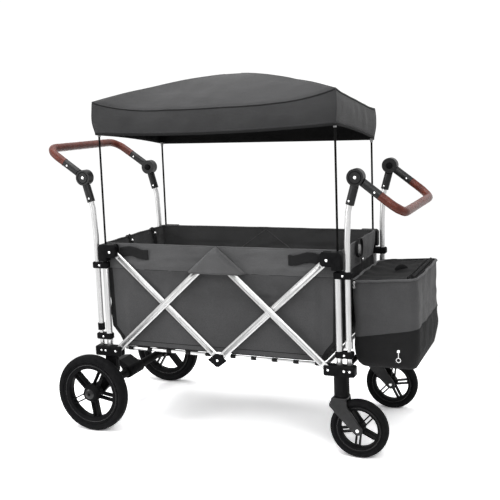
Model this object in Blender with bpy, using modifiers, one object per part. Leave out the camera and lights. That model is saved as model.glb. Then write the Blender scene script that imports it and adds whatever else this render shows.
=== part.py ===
"""Folding stroller wagon with two push handles, a fabric tub, a sun canopy and a storage basket.

Metres, +Z up, +X to the front (swivel wheels and basket), +Y to the left side.
"""

import math

import bmesh
import bpy
from mathutils import Matrix, Vector

ENDS = {"rear": -1, "front": 1}
SIDES = {"left": 1, "right": -1}
GAP = 0.0003

# Scissor frame: pivots, bar layers and bar section
PIVOT_X = 0.420
TOP_PIVOT_Z = 0.684
LOW_PIVOT_Z = 0.302
BAR_LAYER_Y = {
    "falling_rear": 0.2475,
    "rising_rear": 0.2575,
    "rising_front": 0.2575,
    "falling_front": 0.2675,
}
BAR_WIDTH = 0.024
BAR_THICK = 0.009
GROOVE_WIDTH = 0.005
GROOVE_DEPTH = 0.0012
CENTRE_PLATE = (0.037, 0.024)
CENTRE_PLATE_THICK = 0.005

# Corner posts, their clamps and the telescoping tubes
POST_X = 0.453
POST_Y = 0.250
POST_R = 0.0112
POST_BORE_R = 0.0079
INNER_TUBE_R = 0.0075
INNER_TUBE_LOW = 0.440
HANDLE_X = 0.487
HANDLE_TUBE_R = 0.010
HANDLE_BORE_R = 0.0073
GUIDE_R = 0.0065
GUIDE_TOP = 0.600
STUB_R = 0.0085
FOOT_COLLAR_R = 0.0135
FOOT_COLLAR_Z = (0.380, 0.406)
CLAMP_X = (0.440, 0.503)
CLAMP_HALF_Y = 0.0145
UPPER_CLAMP_Z = (0.619, 0.644)
LOWER_CLAMP_Z = (0.345, 0.369)

# Corner brackets
LOW_BRACKET_X = {"rear": (0.395, 0.504), "front": (0.401, 0.511)}
LOW_BRACKET_Y = (0.2390, 0.2775)
LOW_BRACKET_Z = (0.285, 0.322)
POST_SEAT_Z = 0.302
TOP_BRACKET_X = (0.396, 0.436, 0.470)
TOP_BRACKET_Y = (0.2375, 0.2735)
TOP_BRACKET_Z = (0.649, 0.662, 0.712)
FORK_DEPTH_X = 0.434
FORK_CLEARANCE = 0.0006

# Wheels
REAR_WHEEL_X = 0.5075
REAR_WHEEL_Y = 0.304
REAR_WHEEL_R = 0.1465
REAR_TYRE_HALF = 0.024
CASTER_X = 0.458
CASTER_TRAIL = 0.060
FRONT_WHEEL_R = 0.1020
FRONT_TYRE_HALF = 0.020
CASTER_CROWN_Z = (0.1990, 0.2100)
SPOKES = 5
SPOKE_WALL = 0.0042
SPOKE_TURN = {
    "rear_wheel_left": math.radians(22.0),
    "rear_wheel_right": math.radians(63.0),
    "front_wheel_left": math.radians(10.0),
    "front_wheel_right": math.radians(47.0),
}
REAR_AXLE_R = 0.006
FRONT_AXLE_R = 0.005
AXLE_BEAM_R = 0.016
TURN_STEPS = 28

# Handles
HINGE_X = 0.5217
HINGE_Z = 0.9613
HINGE_Y = 0.2493
HINGE_R = 0.029
HINGE_HALF_WIDTH = 0.0165
HINGE_RELIEF = 0.004
SLEEVE_R = 0.0148
ARM_LENGTH = 0.100
GRIP_REACH = 0.194
GRIP_CORNER_R = 0.055
GRIP_R = 0.0155
HANDLE_TILT = {"rear": math.radians(34.5), "front": math.radians(-37.5)}
TUBE_BEND_Z = 0.745
TUBE_TOP = (0.5059, 0.8983)
TUBE_KNEE = (0.4925, 0.8450)
SLEEVE_MOUTH = 0.026
BUTTON_R = 0.012
BUTTON_PROUD = 0.005
BUTTON_DEPTH = 0.008
BUTTON_TRAVEL = 0.004

# Canopy
POLE_X = 0.452
POLE_Y = 0.2435
POLE_R = 0.0038
POLE_SEAT_Z = 0.690
CANOPY_HALF_X = 0.462
CANOPY_HALF_Y = 0.262
CANOPY_PEAK_Z = 1.326
CANOPY_CORNER_Z = 1.208
CANOPY_CORNER_LEAN = (0.016, -0.145)
CANOPY_HEM_Z = 1.0947
CANOPY_HEM_LEAN = (0.008, -0.1285)
CANOPY_END_SAG = 0.006
CANOPY_SIDE_SAG = {"left": 0.030, "right": 0.042}
CANOPY_BULGE = 0.004
CANOPY_WALL = 0.003

# Tub and floor
TUB_RINGS = (
    (0.400, 0.222, 0.326),
    (0.414, 0.229, 0.360),
    (0.438, 0.232, 0.392),
    (0.442, 0.2325, 0.620),
    (0.444, 0.2335, 0.712),
)
TUB_CORNER_R = 0.030
TUB_WALL = 0.005
FLOOR_RAIL_R = 0.0065
FLOOR_RAIL_Y = 0.2318
FLOOR_RAIL_Z = 0.311
FLOOR_PIVOT_X = 0.400
FLOOR_END_X = 0.040

# Basket: rear x, front x, half width and height of each ring
BASKET_RINGS = (
    (0.497, 0.702, 0.188, 0.300),
    (0.487, 0.710, 0.200, 0.330),
    (0.484, 0.7165, 0.205, 0.365),
    (0.484, 0.712, 0.204, 0.480),
    (0.484, 0.7125, 0.198, 0.614),
)
BASKET_CORNER_R = 0.040
BASKET_WALL = 0.004
CROSS_TUBE = (0.470, 0.303, 0.009)

# Each body's parent and the point of its joint
AXES = {
    "rear_frame": (None, (0, 0, 0)),
    "rising_rear_bars": ("rear_frame", (-PIVOT_X, 0, LOW_PIVOT_Z)),
    "falling_rear_bars": ("rising_rear_bars", (-PIVOT_X / 2, 0, (TOP_PIVOT_Z + LOW_PIVOT_Z) / 2)),
    "falling_front_bars": ("rising_rear_bars", (0, 0, TOP_PIVOT_Z)),
    "rising_front_bars": ("falling_front_bars", (PIVOT_X / 2, 0, (TOP_PIVOT_Z + LOW_PIVOT_Z) / 2)),
    "front_frame": ("falling_front_bars", (PIVOT_X, 0, LOW_PIVOT_Z)),
    "rear_top": ("falling_rear_bars", (-PIVOT_X, 0, TOP_PIVOT_Z)),
    "front_top": ("rising_front_bars", (PIVOT_X, 0, TOP_PIVOT_Z)),
    "rear_floor": ("rear_frame", (-FLOOR_PIVOT_X, 0, FLOOR_RAIL_Z)),
    "front_floor": ("front_frame", (FLOOR_PIVOT_X, 0, FLOOR_RAIL_Z)),
    "brake": ("rear_frame", (-REAR_WHEEL_X, 0, REAR_WHEEL_R)),
}
for _end, _sign in ENDS.items():
    AXES[f"{_end}_handle_lift"] = (f"{_end}_frame", (_sign * HANDLE_X, 0, HINGE_Z))
    AXES[f"{_end}_handle"] = (f"{_end}_handle_lift", (_sign * HINGE_X, 0, HINGE_Z))
for _side, _sign in SIDES.items():
    for _end in ENDS:
        hinge = (ENDS[_end] * HINGE_X, _sign * HINGE_Y, HINGE_Z)
        AXES[f"{_end}_button_{_side}"] = (f"{_end}_handle", hinge)
    AXES[f"rear_wheel_{_side}"] = ("rear_frame", (-REAR_WHEEL_X, _sign * REAR_WHEEL_Y, REAR_WHEEL_R))
    AXES[f"caster_{_side}"] = ("front_frame", (CASTER_X, _sign * POST_Y, 0.210))
    wheel = (CASTER_X + CASTER_TRAIL, _sign * POST_Y, FRONT_WHEEL_R)
    AXES[f"front_wheel_{_side}"] = (f"caster_{_side}", wheel)

# Colour, roughness and metallic value of each material
MATERIALS = {
    "aluminium": ((0.78, 0.78, 0.79), 0.35, 0.9),
    "black_plastic": ((0.02, 0.02, 0.022), 0.5, 0.0),
    "tyre": ((0.025, 0.025, 0.027), 0.75, 0.0),
    "grip_leather": ((0.16, 0.045, 0.025), 0.55, 0.0),
    "fabric": ((0.07, 0.072, 0.076), 0.9, 0.0),
    "black_steel": ((0.015, 0.015, 0.016), 0.4, 0.3),
}


def clear_scene():
    for obj in list(bpy.data.objects):
        bpy.data.objects.remove(obj, do_unlink=True)


def make_collection(name):
    collection = bpy.data.collections.new(name)
    bpy.context.scene.collection.children.link(collection)
    return collection


def make_materials():
    made = {}
    for name, (colour, roughness, metallic) in MATERIALS.items():
        material = bpy.data.materials.new(name)
        material.use_nodes = True
        shader = material.node_tree.nodes["Principled BSDF"]
        shader.inputs["Base Color"].default_value = (*colour, 1)
        shader.inputs["Roughness"].default_value = roughness
        shader.inputs["Metallic"].default_value = metallic
        made[name] = material
    return made


def make_axes(parts):
    """An empty on the axis of every joint, each under the body that carries it."""
    made = {}
    for body, (parent, point) in AXES.items():
        empty = bpy.data.objects.new(f"{body}_axis", None)
        empty.empty_display_size = 0.03
        parts.objects.link(empty)
        if parent:
            empty.parent = made[parent]
            empty.location = Vector(point) - Vector(AXES[parent][1])
        made[body] = empty
    return made


def to_mesh(bm):
    bmesh.ops.recalc_face_normals(bm, faces=bm.faces)
    mesh = bpy.data.meshes.new("shape")
    bm.to_mesh(mesh)
    bm.free()
    return mesh


def rod(start, end, radius, sides=16):
    """A round bar between two points."""
    start, end = Vector(start), Vector(end)
    turn = (end - start).to_track_quat("Z", "Y").to_matrix().to_4x4()
    bm = bmesh.new()
    bmesh.ops.create_cone(
        bm,
        cap_ends=True,
        segments=sides,
        radius1=radius,
        radius2=radius,
        depth=(end - start).length,
        matrix=Matrix.Translation((start + end) / 2) @ turn,
    )
    return to_mesh(bm)


def block(x, y, z, bevel=0.0):
    """A box between pairs of limits, with all its edges broken."""
    spans = [sorted(pair) for pair in (x, y, z)]
    size = [high - low for low, high in spans]
    centre = [(high + low) / 2 for low, high in spans]
    bm = bmesh.new()
    bmesh.ops.create_cube(bm, size=1, matrix=Matrix.Translation(centre) @ Matrix.Diagonal((*size, 1)))
    if bevel:
        bmesh.ops.bevel(bm, geom=bm.edges[:], offset=bevel, segments=1, profile=0.5, affect="EDGES")
    return to_mesh(bm)


def plate(outline, y, bevel=0.0):
    """An outline in the XZ plane, made as thick as the pair y says."""
    low, high = sorted(y)
    bm = bmesh.new()
    face = bm.faces.new([bm.verts.new((px, low, pz)) for px, pz in outline])
    grown = bmesh.ops.extrude_face_region(bm, geom=[face])["geom"]
    raised = [item for item in grown if isinstance(item, bmesh.types.BMVert)]
    bmesh.ops.translate(bm, verts=raised, vec=(0, high - low, 0))
    if bevel:
        rims = [edge for edge in bm.edges if abs(edge.verts[0].co.y - edge.verts[1].co.y) < GAP]
        bmesh.ops.bevel(bm, geom=rims, offset=bevel, segments=1, profile=0.5, affect="EDGES")
    return to_mesh(bm)


def turned(profile, centre, steps=TURN_STEPS):
    """A closed outline of (radius, offset along Y) turned about an axis along Y.

    Each flat is as far from the axis as the outline says, and one of them is at the foot.
    """
    bm = bmesh.new()
    foot = Matrix.Rotation(math.pi / 2 + math.pi / steps, 4, "Y")
    corner = 1 / math.cos(math.pi / steps)
    rim = [bm.verts.new(foot @ Vector((radius * corner, offset, 0))) for radius, offset in profile]
    edges = [bm.edges.new((a, b)) for a, b in zip(rim, rim[1:] + rim[:1])]
    bmesh.ops.spin(
        bm, geom=rim + edges, cent=(0, 0, 0), axis=(0, 1, 0), angle=2 * math.pi, steps=steps, use_merge=True
    )
    bmesh.ops.remove_doubles(bm, verts=bm.verts, dist=1e-6)
    bmesh.ops.translate(bm, verts=bm.verts, vec=centre)
    return to_mesh(bm)


def sweep(points, radius, resolution=3, cyclic=False):
    """A round tube along a list of points."""
    curve = bpy.data.curves.new("path", "CURVE")
    curve.dimensions = "3D"
    curve.bevel_depth = radius
    curve.bevel_resolution = resolution
    curve.use_fill_caps = True
    spline = curve.splines.new("POLY")
    spline.points.add(len(points) - 1)
    for item, point in zip(spline.points, points):
        item.co = (*point, 1)
    spline.use_cyclic_u = cyclic
    guide = bpy.data.objects.new("path", curve)
    bpy.context.scene.collection.objects.link(guide)
    graph = bpy.context.evaluated_depsgraph_get()
    mesh = bpy.data.meshes.new_from_object(guide.evaluated_get(graph))
    bpy.data.objects.remove(guide)
    bm = bmesh.new()
    bm.from_mesh(mesh)
    bmesh.ops.remove_doubles(bm, verts=bm.verts, dist=1e-5)
    return to_mesh(bm)


def arc(centre, radius, start, end, count):
    """Points on an arc in a plane, from one angle to another in degrees."""
    turns = [math.radians(start + (end - start) * i / (count - 1)) for i in range(count)]
    return [(centre[0] + radius * math.cos(t), centre[1] + radius * math.sin(t)) for t in turns]


def rounded_ring(low_x, high_x, half_y, z, corner, points=4):
    """A rectangle with round corners at one height."""
    ring = []
    centres = ((high_x, 1, 0), (low_x, 1, 90), (low_x, -1, 180), (high_x, -1, 270))
    for edge_x, side, start in centres:
        inward = -corner if edge_x == high_x else corner
        ring += arc((edge_x + inward, side * (half_y - corner)), corner, start, start + 90, points)
    return [(x, y, z) for x, y in ring]


def open_bag(rings):
    """An open surface through rings from its floor up, with the floor filled."""
    bm = bmesh.new()
    rows = [[bm.verts.new(point) for point in ring] for ring in rings]
    bm.faces.new(rows[0])
    for lower, upper in zip(rows, rows[1:]):
        for i in range(len(lower)):
            j = (i + 1) % len(lower)
            bm.faces.new((lower[i], lower[j], upper[j], upper[i]))
    return to_mesh(bm)


class Workshop:
    """Puts meshes in the scene as parts, and as helpers that join or cut them."""

    def __init__(self):
        self.parts = make_collection("stroller_wagon")
        self.helpers = make_collection("cutters")
        self.axes = make_axes(self.parts)
        self.materials = make_materials()

    def put(self, name, mesh, body, collection):
        mesh.name = name
        mesh.transform(Matrix.Translation(-Vector(AXES[body][1])))
        obj = bpy.data.objects.new(name, mesh)
        obj.parent = self.axes[body]
        collection.objects.link(obj)
        return obj

    def part(self, name, mesh, body, material):
        obj = self.put(name, mesh, body, self.parts)
        mesh.materials.append(self.materials[material])
        mesh.shade_smooth()
        mesh.set_sharp_from_angle(angle=math.radians(35))
        obj["body"] = body
        return obj

    def change(self, obj, mesh, operation):
        helper = self.put(f"{obj.name}_helper_{len(obj.modifiers)}", mesh, obj["body"], self.helpers)
        helper.hide_render = True
        helper.display_type = "WIRE"
        modifier = obj.modifiers.new(helper.name, "BOOLEAN")
        modifier.operation = operation
        modifier.object = helper
        modifier.solver = "EXACT"

    def join(self, obj, mesh):
        self.change(obj, mesh, "UNION")

    def cut(self, obj, mesh):
        self.change(obj, mesh, "DIFFERENCE")

    def thicken(self, obj, wall):
        modifier = obj.modifiers.new("wall", "SOLIDIFY")
        modifier.thickness = wall
        modifier.offset = -1
        modifier.use_even_offset = True


def span(pair, sign):
    return pair[0] * sign, pair[1] * sign


def layer(offset, side, spare=0.0):
    """The two faces of a bar's layer on one side."""
    half = BAR_THICK / 2 + spare
    return side * (offset - half), side * (offset + half)


def add_posts(shop):
    """Corner posts: the hollow tube, its two clamps and the rod that guides the handle tube."""
    for end, e in ENDS.items():
        for side, s in SIDES.items():
            y = s * POST_Y
            foot = POST_SEAT_Z + GAP
            name = f"{end}_post_{side}"
            tube = rod((e * POST_X, y, foot), (e * POST_X, y, UPPER_CLAMP_Z[1] - 0.002), POST_R)
            post = shop.part(name, tube, f"{end}_frame", "aluminium")
            clamp_y = (y - CLAMP_HALF_Y, y + CLAMP_HALF_Y)
            for clamp_z in (UPPER_CLAMP_Z, LOWER_CLAMP_Z):
                shop.join(post, block(span(CLAMP_X, e), clamp_y, clamp_z, 0.004))
            handle = e * HANDLE_X
            shop.join(post, rod((handle, y, foot), (handle, y, LOWER_CLAMP_Z[0] + 0.005), STUB_R))
            shop.join(post, rod((handle, y, LOWER_CLAMP_Z[0] + 0.01), (handle, y, GUIDE_TOP), GUIDE_R, 12))
            bore_low = INNER_TUBE_LOW - 0.005
            shop.cut(post, rod((e * POST_X, y, bore_low), (e * POST_X, y, 0.7), POST_BORE_R))
            hole_z = (UPPER_CLAMP_Z[0] - 0.01, UPPER_CLAMP_Z[1] + 0.01)
            shop.cut(post, rod((handle, y, hole_z[0]), (handle, y, hole_z[1]), HANDLE_TUBE_R + 0.0004))


def fork_slot(e, s, offset, z):
    """The slot in a bracket that a scissor bar's end turns in."""
    return block((e * 0.38, e * FORK_DEPTH_X), layer(offset, s, FORK_CLEARANCE), z)


def rear_leg(s):
    """The leg under a rear bracket, which leans back to the axle."""
    axle = (-REAR_WHEEL_X, REAR_WHEEL_R)
    outline = [(-0.467, 0.298), (-0.423, 0.298), (-0.420, 0.228), (-0.436, 0.192)]
    outline += arc(axle, 0.023, -40, -215, 8)
    outline += [(-0.485, 0.203), (-0.470, 0.235)]
    return plate(outline, (s * 0.2400, s * 0.2665), 0.0015)


def add_low_brackets(shop):
    """Bottom brackets: the rear ones carry the axle legs, the front ones the caster sockets."""
    for end, e in ENDS.items():
        offset = BAR_LAYER_Y["rising_rear" if end == "rear" else "falling_front"]
        for side, s in SIDES.items():
            y = s * POST_Y
            body = block(span(LOW_BRACKET_X[end], e), span(LOW_BRACKET_Y, s), LOW_BRACKET_Z, 0.004)
            bracket = shop.part(f"{end}_bracket_{side}", body, f"{end}_frame", "black_plastic")
            if end == "rear":
                shop.join(bracket, rear_leg(s))
                hole = [(-REAR_WHEEL_X, s * reach, REAR_WHEEL_R) for reach in (0.2, 0.3)]
                shop.cut(bracket, rod(*hole, REAR_AXLE_R + 0.0004))
            else:
                shop.join(bracket, rod((CASTER_X, y, 0.2103), (CASTER_X, y, 0.290), 0.0265, 24))
                shop.cut(bracket, rod((CASTER_X, y, 0.2), (CASTER_X, y, 0.250), 0.0066, 12))
            shop.cut(bracket, fork_slot(e, s, offset, (0.27, 0.34)))
            shop.cut(bracket, rod((e * POST_X, y, POST_SEAT_Z), (e * POST_X, y, 0.34), POST_R + 0.0004))
            shop.cut(bracket, rod((e * HANDLE_X, y, POST_SEAT_Z), (e * HANDLE_X, y, 0.34), STUB_R + 0.0004))


def top_bracket_outline(e):
    """A top bracket from the side: the lobe that holds the bar's pivot, and the deeper body over the post."""
    lobe, body, outer = TOP_BRACKET_X
    foot, lobe_foot, top = TOP_BRACKET_Z
    corner = 0.008
    outline = [(lobe, lobe_foot + corner), (lobe + corner, lobe_foot), (body, lobe_foot), (body, foot)]
    outline += [(outer, foot), (outer, top - corner), (outer - corner, top), (lobe + corner, top)]
    outline.append((lobe, top - corner))
    return [(e * x, z) for x, z in outline]


def add_top_brackets(shop):
    """Top brackets, each on a tube that telescopes out of its post when the wagon folds."""
    for end, e in ENDS.items():
        offset = BAR_LAYER_Y["falling_rear" if end == "rear" else "rising_front"]
        for side, s in SIDES.items():
            y = s * POST_Y
            body = plate(top_bracket_outline(e), span(TOP_BRACKET_Y, s), 0.003)
            bracket = shop.part(f"{end}_top_bracket_{side}", body, f"{end}_top", "black_plastic")
            shop.join(bracket, rod((e * POST_X, y, INNER_TUBE_LOW), (e * POST_X, y, 0.665), INNER_TUBE_R))
            shop.cut(bracket, fork_slot(e, s, offset, (0.64, 0.73)))
            socket = [(e * POLE_X, s * POLE_Y, z) for z in (POLE_SEAT_Z - GAP, 0.73)]
            shop.cut(bracket, rod(*socket, POLE_R + 0.0004, 10))


def bar_outline(start, end):
    """A bar with round ends about its two pivots."""
    run = Vector(end) - Vector(start)
    heading = math.degrees(math.atan2(run.y, run.x))
    half = BAR_WIDTH / 2
    return arc(start, half, heading + 90, heading + 270, 7) + arc(end, half, heading - 90, heading + 90, 7)


def add_bars(shop):
    """The two crossed pairs of scissor bars on each side."""
    low, top = LOW_PIVOT_Z, TOP_PIVOT_Z
    bars = {
        "rising_rear": ((-PIVOT_X, low), (0, top)),
        "falling_rear": ((-PIVOT_X, top), (0, low)),
        "falling_front": ((0, top), (PIVOT_X, low)),
        "rising_front": ((0, low), (PIVOT_X, top)),
    }
    for kind, (start, end) in bars.items():
        for side, s in SIDES.items():
            faces = layer(BAR_LAYER_Y[kind], s)
            shape = plate(bar_outline(start, end), faces, 0.0028)
            bar = shop.part(f"{kind}_bar_{side}", shape, f"{kind}_bars", "aluminium")
            run = Vector(end) - Vector(start)
            across = Vector((-run.y, run.x)).normalized() * GROOVE_WIDTH / 2
            inset = run.normalized() * 0.03
            first, last = Vector(start) + inset, Vector(end) - inset
            groove = [first + across, last + across, last - across, first - across]
            shop.cut(bar, plate(groove, (faces[1] - s * GROOVE_DEPTH, faces[1] + s * 0.01)))
            if kind == "rising_front":
                half_x, half_z = CENTRE_PLATE
                diamond = [(half_x, low), (0.006, low + half_z), (-0.006, low + half_z)]
                diamond += [(-half_x, low), (-0.006, low - half_z), (0.006, low - half_z)]
                depth = (faces[1] - s * 0.0015, faces[1] + s * CENTRE_PLATE_THICK)
                shop.join(bar, plate(diamond, depth, 0.0012))


def add_floor_frames(shop):
    """Two tube frames under the tub floor, hinged on the low brackets, that fold up as the wagon closes."""
    for end, e in ENDS.items():
        ring = rounded_ring(FLOOR_END_X, FLOOR_PIVOT_X, FLOOR_RAIL_Y, FLOOR_RAIL_Z, 0.012, 3)
        frame = sweep([(e * x, y, z) for x, y, z in ring], FLOOR_RAIL_R, 2, cyclic=True)
        shop.part(f"{end}_floor_frame", frame, f"{end}_floor", "aluminium")
    x, z, radius = CROSS_TUBE
    reach = LOW_BRACKET_Y[0] - GAP
    shop.part("front_cross_tube", rod((x, -reach, z), (x, reach, z), radius), "front_frame", "black_steel")


def wheel_cutter(centre, turn, hub_r, rim_r, wall, slot):
    """The five gaps between the twin spokes, and the slot inside each twin, as one set of prisms."""
    bm = bmesh.new()
    edge = slot / 2 + wall
    pitch = 2 * math.pi / SPOKES

    def prism(points):
        face = bm.faces.new([bm.verts.new((x, -0.1, z)) for x, z in points])
        grown = bmesh.ops.extrude_face_region(bm, geom=[face])["geom"]
        raised = [item for item in grown if isinstance(item, bmesh.types.BMVert)]
        bmesh.ops.translate(bm, verts=raised, vec=(0, 0.2, 0))

    for spoke in range(SPOKES):
        along = turn + spoke * pitch
        direction = Vector((math.cos(along), math.sin(along)))
        across = Vector((-direction.y, direction.x))
        inner, outer = hub_r + 0.002, rim_r - 0.0025
        corners = ((inner, -1), (outer, -1), (outer, 1), (inner, 1))
        prism([direction * r + across * (sign * slot / 2) for r, sign in corners])
        first, last = math.asin(edge / rim_r), pitch - math.asin(edge / rim_r)
        near, far = math.asin(edge / hub_r), pitch - math.asin(edge / hub_r)
        rim = arc((0, 0), rim_r, math.degrees(along + first), math.degrees(along + last), 7)
        hub = arc((0, 0), hub_r, math.degrees(along + far), math.degrees(along + near), 3)
        prism(rim + hub)
    bmesh.ops.translate(bm, verts=bm.verts, vec=centre)
    return to_mesh(bm)


def add_wheel(shop, name, radius, half, axle_r, hub_r, tyre_depth, rim_depth):
    """A tyre on a moulded rim with five twin spokes."""
    centre = AXES[name][1]
    seat = radius - tyre_depth
    tyre = [(seat, -0.7 * half), (seat, 0.7 * half), (seat + 0.25 * tyre_depth, half)]
    tyre += [(seat + 0.6 * tyre_depth, half), (radius - 0.004, 0.72 * half), (radius, 0.4 * half)]
    tyre += [(radius, -0.4 * half), (radius - 0.004, -0.72 * half)]
    tyre += [(seat + 0.6 * tyre_depth, -half), (seat + 0.25 * tyre_depth, -half)]
    shop.part(f"{name}_tyre", turned(tyre, centre), name, "tyre")
    bore, rim = axle_r + 0.0004, seat - GAP
    inner = rim - rim_depth
    web, ring, hub = 0.5 * half, 0.68 * half, 1.1 * half
    profile = [(bore, -hub), (bore, hub), (hub_r * 0.8, hub), (hub_r, web), (inner, web), (inner, ring)]
    profile += [(rim, ring), (rim, -ring), (inner, -ring), (inner, -web), (hub_r, -web), (hub_r * 0.8, -hub)]
    wheel = shop.part(f"{name}_rim", turned(profile, centre), name, "black_plastic")
    slot = 0.3 * hub_r + 0.004
    shop.cut(wheel, wheel_cutter(centre, SPOKE_TURN[name], hub_r + 0.001, inner - 0.001, SPOKE_WALL, slot))


def add_rear_wheels(shop):
    for side in SIDES:
        name = f"rear_wheel_{side}"
        add_wheel(shop, name, REAR_WHEEL_R, REAR_TYRE_HALF, REAR_AXLE_R, 0.033, 0.034, 0.017)
    reach, beam = REAR_WHEEL_Y + 0.030, LOW_BRACKET_Y[0] - 0.001
    half = [(0.0, reach), (REAR_AXLE_R, reach), (REAR_AXLE_R, beam), (AXLE_BEAM_R, beam)]
    profile = half + [(radius, -offset) for radius, offset in reversed(half)]
    shop.part("rear_axle", turned(profile, (-REAR_WHEEL_X, 0, REAR_WHEEL_R), 16), "rear_frame", "black_steel")


def add_brake(shop):
    """The foot pedal on the middle of the rear axle."""
    x, z = -REAR_WHEEL_X, REAR_WHEEL_R
    width = 0.050
    collar = rod((x, -width, z), (x, width, z), 0.025, 20)
    pedal = shop.part("brake_pedal", collar, "brake", "black_plastic")
    lever = [(x - 0.012, z - 0.018), (x + 0.010, z + 0.020), (x - 0.035, z + 0.046)]
    lever += [(x - 0.078, z + 0.040), (x - 0.080, z + 0.030), (x - 0.036, z + 0.024)]
    shop.join(pedal, plate(lever, (-width + 0.004, width - 0.004), 0.002))
    shop.cut(pedal, rod((x, -0.1, z), (x, 0.1, z), AXLE_BEAM_R + 0.0010, 16))


def add_casters(shop):
    """Swivel forks: a crown and stem with a leg on each side of the wheel."""
    axle = (CASTER_X + CASTER_TRAIL, FRONT_WHEEL_R)
    for side, s in SIDES.items():
        name, y = f"caster_{side}", s * POST_Y
        crown = block((0.427, 0.481), (y - 0.0315, y + 0.0315), CASTER_CROWN_Z, 0.003)
        fork = shop.part(f"{name}_fork", crown, name, "black_plastic")
        leg = arc((CASTER_X - 0.012, 0.184), 0.026, 90, 190, 6)
        leg += arc(axle, 0.017, 215, 390, 8)
        leg += [(CASTER_X + 0.026, 0.180), (CASTER_X + 0.022, 0.2095)]
        for offset in (-0.0270, 0.0270):
            shop.join(fork, plate(leg, (y + offset - 0.004, y + offset + 0.004), 0.0015))
        shop.join(fork, rod((axle[0], y - 0.026, axle[1]), (axle[0], y + 0.026, axle[1]), FRONT_AXLE_R, 12))
        shop.join(fork, rod((CASTER_X, y, 0.205), (CASTER_X, y, 0.248), 0.0062, 12))
        wheel = f"front_wheel_{side}"
        add_wheel(shop, wheel, FRONT_WHEEL_R, FRONT_TYRE_HALF, FRONT_AXLE_R, 0.019, 0.024, 0.0115)


def handle_point(end, reach, across=0.0):
    """A point of a handle, that far from its hinge line."""
    e, tilt = ENDS[end], HANDLE_TILT[end]
    return (e * (HINGE_X + reach * math.cos(tilt)), across, HINGE_Z + reach * math.sin(tilt))


def hinge_disc(e, s, low, high, radius):
    y = (s * (HINGE_Y + low), s * (HINGE_Y + high))
    return rod((e * HINGE_X, y[0], HINGE_Z), (e * HINGE_X, y[1], HINGE_Z), radius, 28)


def add_handle_tubes(shop):
    """Telescoping handle tubes, and the lower half of each handle hinge on top of them."""
    for end, e in ENDS.items():
        for side, s in SIDES.items():
            y, lift = s * POST_Y, f"{end}_handle_lift"
            knee = (e * TUBE_KNEE[0], y, TUBE_KNEE[1])
            path = [(e * HANDLE_X, y, FOOT_COLLAR_Z[0]), (e * HANDLE_X, y, TUBE_BEND_Z), knee]
            path.append((e * TUBE_TOP[0], y, TUBE_TOP[1]))
            tube = shop.part(f"{end}_handle_tube_{side}", sweep(path, HANDLE_TUBE_R, 5), lift, "aluminium")
            collar = [(e * HANDLE_X, y, z) for z in FOOT_COLLAR_Z]
            shop.join(tube, rod(*collar, FOOT_COLLAR_R))
            bore = [(e * HANDLE_X, y, z) for z in (FOOT_COLLAR_Z[0] - 0.01, GUIDE_TOP + 0.02)]
            shop.cut(tube, rod(*bore, HANDLE_BORE_R, 12))
            add_hinge_sleeve(shop, end, side, knee, lift)


def add_hinge_sleeve(shop, end, side, knee, lift):
    e, s = ENDS[end], SIDES[side]
    y = s * POST_Y
    top = Vector((e * TUBE_TOP[0], y, TUBE_TOP[1]))
    heading = (top - Vector(knee)).normalized()
    mouth = Vector(knee) + heading * SLEEVE_MOUTH
    disc = hinge_disc(e, s, GAP, HINGE_HALF_WIDTH, HINGE_R)
    sleeve = shop.part(f"{end}_hinge_sleeve_{side}", disc, lift, "black_plastic")
    shop.join(sleeve, rod(mouth, (e * HINGE_X, y, HINGE_Z - 0.008), SLEEVE_R, 20))
    shop.cut(sleeve, hinge_disc(e, s, -0.03, 0.0, HINGE_R + HINGE_RELIEF))
    shop.cut(sleeve, rod(mouth - heading * 0.02, top + heading * GAP, HANDLE_TUBE_R + 0.0004))


def add_handles(shop):
    """Tilting handles: the upper half of each hinge with its arm, the release button and the leather grip."""
    for end, e in ENDS.items():
        body = f"{end}_handle"
        for side, s in SIDES.items():
            disc = hinge_disc(e, s, -HINGE_HALF_WIDTH, -GAP, HINGE_R)
            arm = shop.part(f"{end}_handle_arm_{side}", disc, body, "black_plastic")
            across = s * HINGE_Y
            start, finish = handle_point(end, 0.008, across), handle_point(end, ARM_LENGTH, across)
            shop.join(arm, rod(start, finish, SLEEVE_R, 20))
            shop.cut(arm, hinge_disc(e, s, 0.0, 0.03, HINGE_R + HINGE_RELIEF))
            pocket = -HINGE_HALF_WIDTH + BUTTON_DEPTH + BUTTON_TRAVEL + GAP
            shop.cut(arm, hinge_disc(e, s, -0.03, pocket, BUTTON_R + 0.0004))
            low, high = -HINGE_HALF_WIDTH - BUTTON_PROUD, -HINGE_HALF_WIDTH + BUTTON_DEPTH
            cap = rod(
                (e * HINGE_X, s * (HINGE_Y + low), HINGE_Z), (e * HINGE_X, s * (HINGE_Y + high), HINGE_Z), BUTTON_R, 20
            )
            shop.part(f"{end}_button_cap_{side}", cap, f"{end}_button_{side}", "black_plastic")
        inset = GRIP_REACH - GRIP_CORNER_R
        outline = [(ARM_LENGTH + GAP, -HINGE_Y)]
        outline += arc((inset, -HINGE_Y + GRIP_CORNER_R), GRIP_CORNER_R, -90, 0, 7)
        outline += [(reach, -across) for reach, across in reversed(outline)]
        path = [handle_point(end, reach, across) for reach, across in outline]
        shop.part(f"{end}_grip", sweep(path, GRIP_R, 4), body, "grip_leather")


def lean(rate, x, y):
    """How far a level of the canopy is raised at a point of it: its front right corner stands highest."""
    return rate[0] * x + rate[1] * y


def add_poles(shop):
    for end, e in ENDS.items():
        for side, s in SIDES.items():
            x, y = e * POLE_X, s * POLE_Y
            top = CANOPY_CORNER_Z + lean(CANOPY_CORNER_LEAN, x, y) - 0.012
            pole = rod((x, y, POLE_SEAT_Z), (x, y, top), POLE_R, 10)
            shop.part(f"{end}_canopy_pole_{side}", pole, f"{end}_top", "black_steel")


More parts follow.
